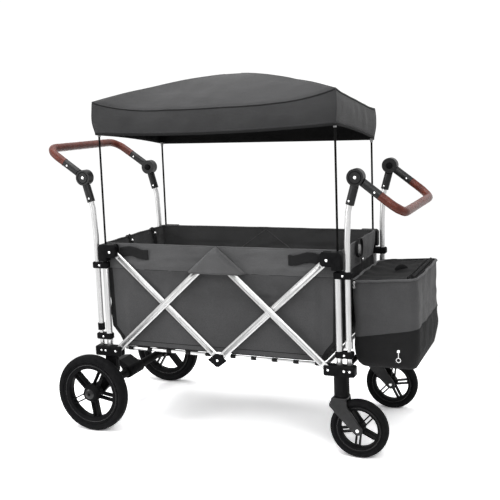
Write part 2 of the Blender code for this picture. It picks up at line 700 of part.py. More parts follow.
def edge_sag(u, v):
    """How far the roof's edge hangs below the line between its corners."""
    if abs(u) == 1:
        return CANOPY_END_SAG * (1 - v**4)
    return CANOPY_SIDE_SAG["left" if v > 0 else "right"] * (1 - u**4)


def canopy_edge():
    """The points of the canopy's edge as shares of its half length and half width."""
    long_side, short_side = 12, 8
    edge = [(2 * i / long_side - 1, -1) for i in range(long_side)]
    edge += [(1, 2 * j / short_side - 1) for j in range(short_side)]
    return edge + [(-u, -v) for u, v in edge]


def canopy_ring(bm, reach):
    """One ring of the roof, that share of the way from the peak to the edge."""
    ring = []
    for u, v in canopy_edge():
        x, y = reach * u * CANOPY_HALF_X, reach * v * CANOPY_HALF_Y
        rise = (CANOPY_PEAK_Z - CANOPY_CORNER_Z) * (1 - reach**1.36)
        sag = edge_sag(u, v) * reach**2.2
        ring.append(bm.verts.new((x, y, CANOPY_CORNER_Z + lean(CANOPY_CORNER_LEAN, x, y) + rise - sag)))
    return ring


def valance_ring(bm, seam, share):
    """One ring of the valance, that share of the way from the roof's seam down to the hem."""
    swell = 1 + CANOPY_BULGE / CANOPY_HALF_Y * math.sin(math.pi * share)
    ring = []
    for vert in seam:
        x, y, z = vert.co
        hem = CANOPY_HEM_Z + lean(CANOPY_HEM_LEAN, x, y)
        ring.append(bm.verts.new((x * swell, y * swell, z + (hem - z) * share)))
    return ring


def add_canopy(shop):
    """A crowned roof with ribs from peak to corners and a valance all round, as one sheet with a wall."""
    roof_rings, valance_rings = 5, 3
    bm = bmesh.new()
    rings = [canopy_ring(bm, (k + 1) / roof_rings) for k in range(roof_rings)]
    seam = rings[-1]
    rings += [valance_ring(bm, seam, (k + 1) / valance_rings) for k in range(valance_rings)]
    peak = bm.verts.new((0, 0, CANOPY_PEAK_Z))
    count = len(seam)
    for k in range(count):
        n = (k + 1) % count
        bm.faces.new((peak, rings[0][k], rings[0][n]))
        for upper, lower in zip(rings, rings[1:]):
            bm.faces.new((upper[k], lower[k], lower[n], upper[n]))
    canopy = shop.part("canopy", to_mesh(bm), "rear_top", "fabric")
    shop.thicken(canopy, CANOPY_WALL)


def add_tub(shop):
    rings = [rounded_ring(-x, x, y, z, TUB_CORNER_R) for x, y, z in TUB_RINGS]
    tub = shop.part("tub", open_bag(rings), "rear_frame", "fabric")
    shop.thicken(tub, TUB_WALL)


def add_basket(shop):
    rings = [rounded_ring(back, front, half, z, BASKET_CORNER_R) for back, front, half, z in BASKET_RINGS]
    basket = shop.part("basket", open_bag(rings), "front_frame", "fabric")
    shop.thicken(basket, BASKET_WALL)


def centre_on_origin(shop):
    """Moves the wagon along X until the origin is under the middle of its box."""
    bpy.context.view_layer.update()
    graph = bpy.context.evaluated_depsgraph_get()
    reach = []
    for obj in shop.parts.objects:
        if obj.type == "MESH":
            placed = obj.evaluated_get(graph)
            reach += [(placed.matrix_world @ Vector(corner)).x for corner in placed.bound_box]
    shop.axes["rear_frame"].location.x = -(min(reach) + max(reach)) / 2


def main():
    clear_scene()
    shop = Workshop()
    add_posts(shop)
    add_low_brackets(shop)
    add_top_brackets(shop)
    add_bars(shop)
    add_floor_frames(shop)
    add_rear_wheels(shop)
    add_brake(shop)
    add_casters(shop)
    add_handle_tubes(shop)
    add_handles(shop)
    add_poles(shop)
    add_canopy(shop)
    add_tub(shop)
    add_basket(shop)
    centre_on_origin(shop)


main()
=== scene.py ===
"""Visual scene of the folding stroller wagon: finishes, soft goods, small hardware, studio and camera.

Shapes are given in the wagon's own coordinates, which have X = 0 midway between the end pivots.
"""

import math

import bmesh
import bpy
from mathutils import Matrix, Vector, noise


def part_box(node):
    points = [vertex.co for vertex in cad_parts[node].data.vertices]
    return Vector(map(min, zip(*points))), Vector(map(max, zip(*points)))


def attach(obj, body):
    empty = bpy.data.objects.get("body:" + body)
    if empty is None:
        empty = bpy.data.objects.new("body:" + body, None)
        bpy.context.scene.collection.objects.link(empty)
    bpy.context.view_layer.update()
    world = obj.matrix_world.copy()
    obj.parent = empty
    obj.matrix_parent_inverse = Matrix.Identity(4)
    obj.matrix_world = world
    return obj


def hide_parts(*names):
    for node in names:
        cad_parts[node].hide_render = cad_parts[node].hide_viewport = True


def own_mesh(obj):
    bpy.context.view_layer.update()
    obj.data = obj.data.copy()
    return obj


SIDES = {"left": 1, "right": -1}
ENDS = {"rear": -1, "front": 1}
REAR_WHEEL_X = 0.5075
HINGE = (0.5217, 0.2493, 0.9613)
HINGE_FACE_Y = 0.2658
HANDLE_TILT = {"rear": math.radians(34.5), "front": math.radians(-37.5)}
SLEEVE_FACE_Y = 0.2645
GRIP_START, GRIP_REACH, GRIP_CORNER_R, GRIP_R = 0.1005, 0.194, 0.055, 0.0153
# The scissor bars' pivots: X of the end ones, Z of the high ones, Z of the low ones
PIVOT = (0.42, 0.684, 0.302)
# Y and Z of the floor frames' rails, and the radius of the cloth tabs round them
FLOOR_RAIL, TAB_R = (0.2318, 0.311), 0.0069

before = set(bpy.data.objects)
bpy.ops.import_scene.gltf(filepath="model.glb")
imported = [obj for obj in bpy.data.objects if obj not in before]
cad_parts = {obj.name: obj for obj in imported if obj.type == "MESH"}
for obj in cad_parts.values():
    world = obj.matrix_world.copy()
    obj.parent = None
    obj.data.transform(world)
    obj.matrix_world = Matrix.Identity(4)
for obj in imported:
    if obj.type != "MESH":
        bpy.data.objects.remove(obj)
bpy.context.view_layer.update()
scene = bpy.context.scene
low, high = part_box("rear_wheel_left_tyre")
SHIFT = (low[0] + high[0]) / 2 + REAR_WHEEL_X


def clamp(value):
    return max(0.0, min(1.0, value))


def turns(count):
    """Angles evenly spaced round a circle."""
    return [2 * math.pi * k / count for k in range(count)]


def circle(radius, count):
    """Points evenly spaced round a circle."""
    return [(radius * math.cos(t), radius * math.sin(t)) for t in turns(count)]


def smooth(value):
    value = clamp(value)
    return value * value * (3 - 2 * value)


def rough(point, size, depth):
    """Soft random relief: about depth high, with lumps about size across."""
    return noise.noise(Vector(point) / size) * depth


def crease(point, size, depth):
    """Sharp soft folds: ridges about depth high and about size apart."""
    return (0.35 - abs(noise.noise(Vector(point) / size))) * depth * 2


# Materials


class Paint:
    """A procedural material built node by node."""

    def __init__(self, name):
        self.material = bpy.data.materials.new(name)
        self.material.use_nodes = True
        self.tree = self.material.node_tree
        self.shader = self.tree.nodes["Principled BSDF"]
        self.place = self.tree.nodes.new("ShaderNodeTexCoord").outputs["Object"]

    def fill(self, node, values):
        """Sets a node's options and inputs. An input that is given another node's output is linked to it."""
        for key, value in values.items():
            name = key.replace("_", " ")
            if hasattr(node, key):
                setattr(node, key, value)
            elif isinstance(value, bpy.types.NodeSocket):
                self.link(value, node.inputs[name])
            else:
                node.inputs[name].default_value = value
        return node

    def node(self, kind, **values):
        return self.fill(self.tree.nodes.new(kind), values)

    def link(self, output, target):
        self.tree.links.new(output, target)

    def noise(self, scale, detail=2.0, stretch=None):
        source = self.place
        if stretch:
            source = self.node("ShaderNodeMapping", Scale=stretch, Vector=source).outputs["Vector"]
        return self.node("ShaderNodeTexNoise", Scale=scale, Detail=detail, Vector=source).outputs["Fac"]

    def ramp(self, factor, low, high):
        ramp = self.node("ShaderNodeValToRGB", Fac=factor)
        for stop, position, tone in zip(ramp.color_ramp.elements, (0.3, 0.7), (low, high)):
            stop.position = position
            stop.color = (*tone, 1)
        return ramp.outputs["Color"]

    def colour(self, low, high, scale, detail=2.0, stretch=None):
        self.set(Base_Color=self.ramp(self.noise(scale, detail, stretch), low, high))

    def roughness(self, low, high, scale, stretch=None):
        self.set(Roughness=self.ramp(self.noise(scale, 2.0, stretch), (low,) * 3, (high,) * 3))

    def relief(self, heights, depth, strength=0.5, **over):
        """Raises the surface by a height map, on top of the relief that Normal gives."""
        bump = self.node("ShaderNodeBump", Strength=strength, Distance=depth, Height=heights, **over)
        self.set(Normal=bump.outputs["Normal"])
        return bump.outputs["Normal"]

    def mix(self, first, second, mode, factor=1.0):
        values = {"Factor": factor, "A": first, "B": second}
        return self.node("ShaderNodeMix", data_type="RGBA", blend_type=mode, **values).outputs["Result"]

    def set(self, **values):
        self.fill(self.shader, values)
        return self.material


def cloth(name, low, high, sheen=0.12):
    """Plain-woven polyester with a heather tone and soft creases."""
    paint = Paint(name)
    heather = paint.ramp(paint.noise(620.0, 3.0), low, high)
    cloud = paint.ramp(paint.noise(7.0, 3.0), (0.80,) * 3, (1.04,) * 3)
    paint.set(Base_Color=paint.mix(heather, cloud, "MULTIPLY"))
    threads = []
    for way in ("X", "Z"):
        values = {"Scale": 360.0, "Distortion": 0.6, "Vector": paint.place}
        wave = paint.node("ShaderNodeTexWave", bands_direction=way, **values)
        threads.append(wave.outputs["Color"])
    weave = paint.mix(*threads, "LIGHTEN")
    woven = paint.relief(paint.mix(weave, paint.noise(34.0, 4.0), "ADD", 0.9), 0.0012, 0.35)
    paint.relief(paint.noise(9.0, 4.0, (0.8, 1.0, 1.8)), 0.005, 0.9, Normal=woven)
    return paint.set(Roughness=0.86, Sheen_Weight=sheen, Sheen_Roughness=0.5, Specular_IOR_Level=0.25)


def plastic(name, low, high, roughness, grain=1500.0, gloss=0.03):
    """Moulded plastic, rubber or paint with a fine grain."""
    paint = Paint(name)
    paint.colour(low, high, 60.0)
    paint.roughness(roughness - 0.06, roughness + 0.06, 25.0)
    paint.relief(paint.noise(grain, 2.0), 0.0002, 0.3)
    return paint.set(Specular_IOR_Level=gloss)


def metal(name, low, high, roughness, stretch=(1.0, 1.0, 0.04)):
    """Bare metal, with drawing lines along the direction that stretch makes long."""
    paint = Paint(name)
    paint.colour(low, high, 320.0, 2.0, stretch)
    paint.roughness(roughness - 0.05, roughness + 0.05, 320.0, stretch)
    return paint.set(Metallic=0.8)


def leather(name, low, high):
    paint = Paint(name)
    paint.colour(low, high, 42.0, 4.0)
    pores = paint.node("ShaderNodeTexVoronoi", Scale=520.0, Vector=paint.place)
    paint.relief(paint.mix(pores.outputs["Distance"], paint.noise(120.0, 4.0), "ADD", 0.8), 0.0012, 0.4)
    paint.roughness(0.26, 0.40, 60.0)
    return paint.set(Specular_IOR_Level=0.25)


M = {
    "aluminium": metal("drawn_aluminium", (0.55,) * 3, (0.68,) * 3, 0.32),
    "black_plastic": plastic("moulded_black", (0.005, 0.005, 0.0055), (0.009, 0.009, 0.0095), 0.48),
    # A lighter, glossier copy of the black plastic for the handle arms, sleeves and forks: the lighter tone
    # is painted light, the gloss is their finish.
    "painted_light_black": plastic("painted_light_black", (0.010, 0.010, 0.0105), (0.016, 0.016, 0.0165), 0.40, 1500.0, 0.22),
    "rim_black": plastic("glossy_black", (0.004, 0.004, 0.0045), (0.007, 0.007, 0.0075), 0.26, 1500.0, 0.30),
    "tyre": plastic("tyre_foam", (0.006, 0.006, 0.0065), (0.010, 0.010, 0.0105), 0.60, 700.0),
    "black_steel": plastic("painted_steel", (0.002,) * 3, (0.004,) * 3, 0.55, 900.0, 0.05),
    "grip_leather": leather("brown_leather", (0.066, 0.013, 0.008), (0.125, 0.028, 0.016)),
    "fabric": cloth("charcoal_cloth", (0.046, 0.046, 0.0475), (0.071, 0.071, 0.0725)),
    "roof": cloth("canopy_fabric", (0.026, 0.026, 0.027), (0.039, 0.039, 0.040)),
    "band": cloth("band_cloth", (0.072, 0.072, 0.074), (0.102, 0.102, 0.104)),
    "lining": cloth("lining_cloth", (0.050, 0.050, 0.051), (0.066, 0.066, 0.067)),
    "black_cloth": cloth("black_cloth", (0.0045, 0.0045, 0.0048), (0.008, 0.008, 0.0085), 0.01),
    "underside": cloth("black_underside", (0.003,) * 3, (0.005,) * 3, 0.0),
    "webbing": cloth("black_webbing", (0.004, 0.004, 0.0044), (0.007, 0.007, 0.0075), 0.02),
    "thread": cloth("grey_thread", (0.11,) * 3, (0.15,) * 3, 0.0),
    "brown_thread": cloth("brown_thread", (0.17, 0.065, 0.042), (0.22, 0.090, 0.060), 0.0),
    # A darker copy of the aluminium for the strips on the scissor bars: painted shade of their recessed
    # middle.
    "channel": metal("bar_channel_painted_shade", (0.40,) * 3, (0.50,) * 3, 0.42),
    "rivet": metal("bright_rivet", (0.90,) * 3, (0.97,) * 3, 0.25, None),
    "clip": plastic("grey_clip", (0.30,) * 3, (0.36,) * 3, 0.45),
}


def smooth_by_angle(limit):
    """A modifier group that shades faces smooth apart from edges sharper than the limit."""
    group = bpy.data.node_groups.new("smooth_by_angle", "GeometryNodeTree")
    for way in ("INPUT", "OUTPUT"):
        group.interface.new_socket("Geometry", in_out=way, socket_type="NodeSocketGeometry")
    start = group.nodes.new("NodeGroupInput")
    end = group.nodes.new("NodeGroupOutput")
    faces = group.nodes.new("GeometryNodeSetShadeSmooth")
    edges = group.nodes.new("GeometryNodeSetShadeSmooth")
    edges.domain = "EDGE"
    angle = group.nodes.new("GeometryNodeInputMeshEdgeAngle")
    flat = group.nodes.new("FunctionNodeCompare")
    flat.operation = "LESS_EQUAL"
    flat.inputs["B"].default_value = limit
    links = group.links
    links.new(start.outputs[0], faces.inputs["Geometry"])
    links.new(faces.outputs[0], edges.inputs["Geometry"])
    links.new(angle.outputs["Unsigned Angle"], flat.inputs["A"])
    links.new(flat.outputs[0], edges.inputs["Shade Smooth"])
    links.new(edges.outputs[0], end.inputs[0])
    return group


def modify(obj, name, kind, **values):
    """Adds a modifier with its settings."""
    modifier = obj.modifiers.new(name, kind)
    for key, value in values.items():
        setattr(modifier, key, value)


def finish_solids():
    """Gives every CAD solid its finish, soft shading and slightly broken edges; the handle arms, sleeves and
    forks get a lighter copy of the black plastic, with painted light.
    """
    shading = smooth_by_angle(math.radians(32))
    moulded = ("bracket", "post", "fork", "button", "pedal", "rim")
    for name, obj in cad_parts.items():
        slot = obj.data.materials[0].name.split(".")[0]
        # The arms, sleeves and forks take the lighter copy of the black plastic: painted light.
        lit_copy = slot == "black_plastic" and any(word in name for word in ("arm", "sleeve", "fork"))
        obj.data.materials[0] = M["painted_light_black" if lit_copy else slot]
        custom = obj.data.attributes.get("custom_normal")
        if custom:
            obj.data.attributes.remove(custom)
        modify(obj, "weld", "WELD", merge_threshold=1e-5)
        if any(word in name for word in moulded):
            limit = math.radians(40)
            modify(obj, "edges", "BEVEL", width=0.0009, segments=2, limit_method="ANGLE", angle_limit=limit)
        modify(obj, "shading", "NODES", node_group=shading)
        blacken(name, obj)


def blacken(name, obj):
    """Gives the moulded pieces that a metal solid carries their own black finish."""
    if "_post_" in name:
        zones = [(-1, 0.6185, 0.6445), (-1, 0.3445, 0.3695)]
    elif "rear_handle_tube" in name:
        zones = [(-1, 0.3795, 0.4065)]
    elif "rising_front_bar" in name:
        zones = [(0.2600, 0.27, 0.3270)]
    else:
        return
    obj.data.materials.append(M["black_plastic"])
    place = [obj.matrix_world @ vertex.co for vertex in obj.data.vertices]
    for face in obj.data.polygons:
        spots = [place[i] for i in face.vertices]
        for out, low_z, high_z in zones:
            if all(low_z < spot.z < high_z and abs(spot.y) > out for spot in spots):
                face.material_index = 1


# Mesh builders


class Batch:
    """Collects points and faces, and becomes one object."""

    def __init__(self):
        self.points, self.faces, self.zones = [], [], []

    def cap(self, first, count, zone=0, back=False):
        """One face over a ring of points, facing backwards for the start of a tube."""
        ring = range(first, first + count)
        self.faces.append(tuple(reversed(ring) if back else ring))
        self.zones.append(zone)

    def grid(self, rows, closed=False, zone=None):
        """Rows of points joined by quads. zone(row, column) picks the material of a quad."""
        width = len(rows[0])
        base = len(self.points)
        self.points += [tuple(point) for row in rows for point in row]
        for i in range(len(rows) - 1):
            for j in range(width if closed else width - 1):
                k = (j + 1) % width
                corners = (i * width + j, i * width + k, (i + 1) * width + k, (i + 1) * width + j)
                self.faces.append(tuple(base + c for c in corners))
                self.zones.append(zone(i, j) if zone else 0)
        return self

    def tube(self, points, radius, sides=10, closed=False, flat=1.0):
        """A round or flattened tube along points."""
        path = [Vector(point) for point in points]
        count = len(path)
        rows = []
        normal = None
        for i, point in enumerate(path):
            ahead = path[(i + 1) % count] if closed or i + 1 < count else point
            behind = path[i - 1] if closed or i else point
            heading = (ahead - behind).normalized()
            if normal is None:
                normal = heading.orthogonal().normalized()
                if abs(heading.z) < 0.9:
                    normal = (Vector((0, 0, 1)) - heading * heading.z).normalized()
            normal = (normal - heading * normal.dot(heading)).normalized()
            across = heading.cross(normal)
            size = radius(i / max(1, count - 1)) if callable(radius) else radius
            ring = []
            for t in turns(sides):
                ring.append(point + normal * (size * math.cos(t)) + across * (size * flat * math.sin(t)))
            rows.append(ring)
        if closed:
            rows.append(rows[0])
        base = len(self.points)
        self.grid(rows, closed=True)
        if not closed:
            self.cap(base, sides, back=True)
            self.cap(base + (count - 1) * sides, sides)
        return self

    def dome(self, centre, normal, radius, height, sides=14):
        """A low round head on a short rim, as on a rivet or a bolt."""
        up = Vector(normal).normalized()
        first = up.orthogonal().normalized()
        second = up.cross(first)
        rows = []
        for reach, rise in ((1.0, -0.4), (1.0, 0.25), (0.86, 0.62), (0.55, 0.9), (0.18, 1.0)):
            ring = [first * math.cos(t) + second * math.sin(t) for t in turns(sides)]
            rows.append([Vector(centre) + r * (radius * reach) + up * (height * rise) for r in ring])
        base = len(self.points)
        self.grid(rows, closed=True)
        self.cap(base, sides, back=True)
        self.cap(base + 4 * sides, sides)

    def turned(self, profile, centre, steps):
        """A closed outline of (radius, offset along Y) turned about an axis along Y."""
        rows = []
        x, y, z = centre
        for k in range(steps + 1):
            t = 2 * math.pi * k / steps
            rows.append([(x + r * math.cos(t), y + out, z + r * math.sin(t)) for r, out in profile])
        return self.grid(rows, closed=True)

    def build(self, name, materials, body):
        """The object, riding on a body of the frame."""
        mesh = bpy.data.meshes.new(name)
        mesh.from_pydata([(x + SHIFT, y, z) for x, y, z in self.points], [], self.faces)
        for material in materials:
            mesh.materials.append(M[material])
        mesh.polygons.foreach_set("material_index", self.zones)
        bm = bmesh.new()
        bm.from_mesh(mesh)
        bmesh.ops.remove_doubles(bm, verts=bm.verts, dist=1e-6)
        bmesh.ops.recalc_face_normals(bm, faces=bm.faces)
        bm.to_mesh(mesh)
        bm.free()
        mesh.shade_smooth()
        mesh.set_sharp_from_angle(angle=math.radians(50))
        obj = bpy.data.objects.new(name, mesh)
        scene.collection.objects.link(obj)
        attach(obj, body)
        return obj


def resample(points, pitch):
    """Points spaced about pitch apart along a path."""
    path = [Vector(point) for point in points]
    lengths = [(b - a).length for a, b in zip(path, path[1:])]
    total = sum(lengths)
    count = max(1, round(total / pitch))
    made = []
    for k in range(count + 1):
        left = total * k / count
        i = 0
        while i < len(lengths) - 1 and left > lengths[i]:
            left -= lengths[i]
            i += 1
        made.append(path[i].lerp(path[i + 1], clamp(left / lengths[i]) if lengths[i] else 0.0))
    return made


def stitch(batch, points, pitch=0.0075, length=0.0045, radius=0.0004):
    """A row of short raised threads along a path."""
    line = resample(points, pitch)
    for a, b in zip(line, line[1:]):
        batch.tube([a, a.lerp(b, length / pitch)], radius, 5)


def thicken(obj, wall):
    """Gives a sheet a wall to both sides."""
    modify(obj, "wall", "SOLIDIFY", thickness=wall, offset=0.0)


def hollow(obj, centre, wall, inside):
    """Gives an open shell round a point a wall inwards, whose material is that many slots further on."""
    bm = bmesh.new()
    bm.from_mesh(obj.data)
    middle = Vector((centre[0] + SHIFT, centre[1], centre[2]))
    facing = sum(face.normal.dot(face.calc_center_median() - middle) * face.calc_area() for face in bm.faces)
    if facing < 0:
        bmesh.ops.reverse_faces(bm, faces=bm.faces)
    bm.to_mesh(obj.data)
    bm.free()
    slots = {"material_offset": inside, "material_offset_rim": 0}
    modify(obj, "wall", "SOLIDIFY", thickness=wall, offset=-1.0, **slots)
    obj.data.set_sharp_from_angle(angle=math.radians(70))


# Canopy

CANOPY_HALF = (0.462, 0.262)
CANOPY_PEAK = 1.326
CANOPY_CORNER = 1.208
CANOPY_HEM = 1.0947
# X and Y of the poles
POLE = (0.452, 0.2435)


def canopy_edge(long_side=56, short_side=30):
    """(u, v) round the canopy's edge, each from -1 to 1."""
    edge = [(2 * i / long_side - 1, -1.0) for i in range(long_side)]
    edge += [(1.0, 2 * j / short_side - 1) for j in range(short_side)]
    return edge + [(-u, -v) for u, v in edge]


def roof_point(u, v, reach):
    """A point of the roof, that share of the way from its peak to the edge point (u, v)."""
    x, y = reach * u * CANOPY_HALF[0], reach * v * CANOPY_HALF[1]
    long_edge = abs(v) == 1.0
    along = abs(u) if long_edge else abs(v)
    sag = (0.042 if long_edge else 0.006) * (1 - along**4)
    rise = (CANOPY_PEAK - CANOPY_CORNER) * (1 - reach**1.36)
    z = CANOPY_CORNER + rise - sag * reach**2.2 - 0.145 * y + 0.016 * x
    folds = rough((x, y, 0.3), 0.07, 0.0036) + crease((x * 0.6 + y, y * 1.4, 0.7), 0.14, 0.0040)
    return (x, y, z + folds * reach * (1 - 0.7 * reach**6))


def valance_point(u, v, share):
    """A point of the valance, that share of the way from the roof's seam to the hem."""
    x, y, top = roof_point(u, v, 1.0)
    near = (1 - v) / 2
    hem = CANOPY_HEM - 0.1285 * y + 0.0155 * x * near
    if abs(v) == 1.0:
        hem -= 0.013 * (1 - u * u) * near
    else:
        hem += 0.006 * (1 - v * v)
    corner = smooth((min(abs(u), abs(v)) - 0.9) / 0.1)
    swell = 0.0055 * math.sin(math.pi * share) - 0.006 * share * share * corner
    swell += rough((x, y, share * 0.1), 0.05, 0.0036) * math.sin(math.pi * share)
    swell += crease((x, y, share * 0.07), 0.08, 0.0034) * math.sin(math.pi * share)
    push = Vector((u if abs(u) == 1.0 else 0, v if abs(v) == 1.0 else 0)).normalized()
    return (x + push.x * swell, y + push.y * swell, top + (hem - top) * share)


def add_canopy():
    edge = canopy_edge()
    rings, drops = 18, 9
    rows = [[roof_point(u, v, max(0.002, k / rings)) for u, v in edge] for k in range(rings + 1)]
    rows += [[valance_point(u, v, (k + 1) / drops) for u, v in edge] for k in range(drops)]
    shell = Batch().grid(rows, closed=True)
    shell.cap(0, len(edge))
    canopy = shell.build("canopy_cloth", ["roof", "underside"], "rear_top")
    hollow(canopy, (0, 0, 1.1), 0.0018, 1)
    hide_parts("canopy")
    trim = Batch().tube([roof_point(u, v, 1.0) for u, v in edge], 0.0017, 8, closed=True)
    for su, sv in ((1, 1), (1, -1), (-1, 1), (-1, -1)):
        rib = [Vector(roof_point(su, sv, k / 14)) - Vector((0, 0, 0.0004)) for k in range(1, 15)]
        trim.tube(rib, 0.0012, 6)
        trim.tube([valance_point(su, sv, k / 9) for k in range(10)], 0.0014, 6)
    piping = trim.build("canopy_piping", ["roof"], "rear_top")
    hem = Batch().tube([valance_point(u, v, 0.985) for u, v in edge], 0.0048, 8, closed=True, flat=0.45)
    hem.tube([valance_point(u, v, 0.035) for u, v in edge], 0.0014, 6, closed=True)
    binding = hem.build("canopy_hem", ["black_cloth"], "rear_top")
    thread = Batch()
    stitch(thread, [Vector(valance_point(u, v, 0.9)) * 1.0005 for u, v in edge + edge[:1]], 0.009)
    stitches = thread.build("canopy_stitches", ["lining"], "rear_top")
    pieces = [piping, binding, stitches]
    for end, e in ENDS.items():
        clips = Batch()
        for s in SIDES.values():
            z = valance_point(e, s, 1.0)[2]
            clips.tube([(e * POLE[0], s * POLE[1], z + rise) for rise in (-0.010, 0.004)], 0.0058, 12)
        clips.build(f"pole_clips_{end}_top", ["clip"], f"{end}_top")
    for obj in [canopy, *pieces]:
        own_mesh(obj)


# Tub

# Height and half length of the tub at each level
TUB_RINGS = (
    (0.326, 0.400),
    (0.360, 0.420),
    (0.395, 0.450),
    (0.510, 0.4535),
    (0.600, 0.4560),
    (0.7125, 0.466),
)
TUB_HALF_Y = 0.2410
TUB_CORNER_R = 0.012
BAND_Z = 0.618
TUB_RIM_Z = 0.7115
HARNESS_Y = {"near": -0.060, "far": 0.128}


def tub_half(z):
    """Half the tub's length at a height."""
    for (z0, x0), (z1, x1) in zip(TUB_RINGS, TUB_RINGS[1:]):
        if z <= z1:
            break
    return x0 + (x1 - x0) * clamp((z - z0) / (z1 - z0))


def tub_ring(plan, z):
    """The point and outward direction at each station of the tub's wall."""
    half_x = tub_half(z)
    return ring_points(plan, -half_x, half_x, TUB_HALF_Y, TUB_CORNER_R)


def wall_room(x, z):
    """Least and greatest |y| of a side wall.

    It hangs outside the floor rails, which fold up inside it, and inside the bars, straps and top brackets.
    """
    far = abs(x)
    high = 0.2414 if z < BAND_Z else 0.2424
    if z > 0.645:
        high -= (high - 0.2384) * smooth((far - 0.01) / 0.03)
        high -= (high - 0.2360) * smooth((far - 0.285) / 0.030)
    high -= (high - 0.2360) * smooth((far - 0.362) / 0.030)
    low = 0.2404 if z < 0.53 else 0.2340
    return min(low, high - 0.0008), high


def ring_plan(long_count, short_count, corner_count):
    """Stations round a rounded rectangle.

    Each is a side's direction and the share along it, or a corner's number and an angle.
    """
    plan = []
    for side, (nx, ny) in enumerate(((0, -1), (1, 0), (0, 1), (-1, 0))):
        count = short_count if nx else long_count
        plan += [("side", nx, ny, 2 * i / count - 1) for i in range(count + 1)]
        start = -90 + 90 * side
        plan += [("corner", side, start + 90 * i / corner_count, 0) for i in range(1, corner_count)]
    return plan


def ring_points(plan, low_x, high_x, half_y, corner):
    """The point and outward direction at each station of a plan."""
    made = []
    centre_x, half_x = (low_x + high_x) / 2, (high_x - low_x) / 2
    flat_x, flat_y = half_x - corner, half_y - corner
    corners = ((1, -1), (1, 1), (-1, 1), (-1, -1))
    for kind, a, b, c in plan:
        if kind == "side":
            point = (centre_x - b * c * flat_x, b * half_y) if b else (centre_x + a * half_x, a * c * flat_y)
            made.append((point, (a, b)))
        else:
            sx, sy = corners[a]
            t = math.radians(b)
            way = (math.cos(t), math.sin(t))
            made.append(((centre_x + sx * flat_x + way[0] * corner, sy * flat_y + way[1] * corner), way))
    return made


def tub_point(point, way, z, lift=0.0):
    """Moves a point of the tub's wall in or out: a slack panel below, a double band above."""
    x, y = point
    share = clamp((z - 0.335) / (BAND_Z - 0.335))
    out = rough((x, y, z), 0.11, 0.0040) * (0.5 + share) + rough((x * 0.7, y, z * 1.8), 0.05, 0.0026)
    out += crease((x * 0.8 + z * 0.5, y, z * 1.3 - x * 0.35), 0.12, 0.0030)
    out += abs(way[0]) * (rough((x, y * 1.3, z), 0.06, 0.005) - 0.003)
    low, high = wall_room(x, z)
    reach = min(abs(y) + abs(way[1]) * out, high)
    if abs(way[1]) > 0.99:
        out += rough((x + z, y, z - 0.6 * x), 0.022, 0.0016)
        out += crease((0.7 * x - z, y, 1.6 * z), 0.075, 0.0045) * smooth((z - 0.60) / 0.04)
        reach = (low + high) / 2 + (high - low) / 2 * math.tanh(out / 0.003)
    return (x + way[0] * (min(out, 0.0045) + lift), math.copysign(reach + abs(way[1]) * lift, y), z)


def tub_line(plan, z, lift):
    """A line once round the tub's wall."""
    return [tub_point(point, way, z, lift) for point, way in tub_ring(plan, z)]


def add_tub():
    plan = ring_plan(150, 60, 6)
    heights = [0.326, 0.3285, 0.334, 0.345] + [0.36 + 0.0086 * k for k in range(30)] + [BAND_Z]
    heights += [BAND_Z - 0.0006] + [0.630 + 0.0075 * k for k in range(11)] + [0.7125]
    band_row = heights.index(BAND_Z)
    rows = []
    for i, z in enumerate(heights):
        level = z + 0.002 if i == band_row + 1 else z
        rows.append([(*tub_point(point, way, level)[:2], z) for point, way in tub_ring(plan, z)])
    panel = [kind == "side" and ny != 0 and -0.985 < share < 0.965 for kind, _, ny, share in plan]

    def zone(i, j):
        return 1 if i > band_row else 0 if panel[j] else 2

    shell = Batch().grid(rows, closed=True, zone=zone)
    tub = shell.build("tub_cloth", ["fabric", "band", "black_cloth"] + ["lining"] * 3, "rear_top")
    hollow(tub, (0, 0, 0.5), 0.0010, 3)
    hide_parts("tub")
    rim = Batch().tube(tub_line(plan, TUB_RIM_Z, -0.0022), 0.0029, 10, closed=True)
    edge = rim.build("tub_rim", ["band"], "rear_top")
    thread = Batch()
    for z in (BAND_Z + 0.006, BAND_Z + 0.013):
        path = tub_line(plan, z, 0.0002)
        stitch(thread, path + path[:1], 0.0085)
    stitches = thread.build("tub_stitches", ["fabric"], "rear_top")
    seams = Batch()
    for s in SIDES.values():
        for e in ENDS.values():
            path = []
            for z in heights[2:band_row + 1]:
                x = 0.979 * (tub_half(z) - TUB_CORNER_R)
                path.append(tub_point((e * x, s * TUB_HALF_Y), (0, s), z, -0.0026))
            seams.tube(path, 0.0012, 6)
        path = []
        for k in range(41):
            path.append(tub_point((-0.402 + 0.804 * k / 40, s * TUB_HALF_Y), (0, s), 0.343, -0.0002))
        seams.tube(path, 0.0012, 6)
    seams.tube(tub_line(plan, BAND_Z, -0.0006), 0.0010, 6, closed=True)
    binding = seams.build("tub_seams", ["black_cloth"], "rear_top")
    rows = []
    for k in range(13):
        x = 0.045 * (k / 6 - 1)
        sag = [rough((x, j / 20, 0), 0.3, 0.0005) for j in range(41)]
        rows.append([(x, 0.2392 * (j / 20 - 1), 0.3330 + depth) for j, depth in enumerate(sag)])
    middle = Batch().grid(rows).build("tub_floor_middle", ["lining"], "rear_top")
    thicken(middle, 0.0020)
    pieces = [edge, stitches, binding, middle]
    for obj in [tub, *pieces]:
        fold_with_tub(obj)


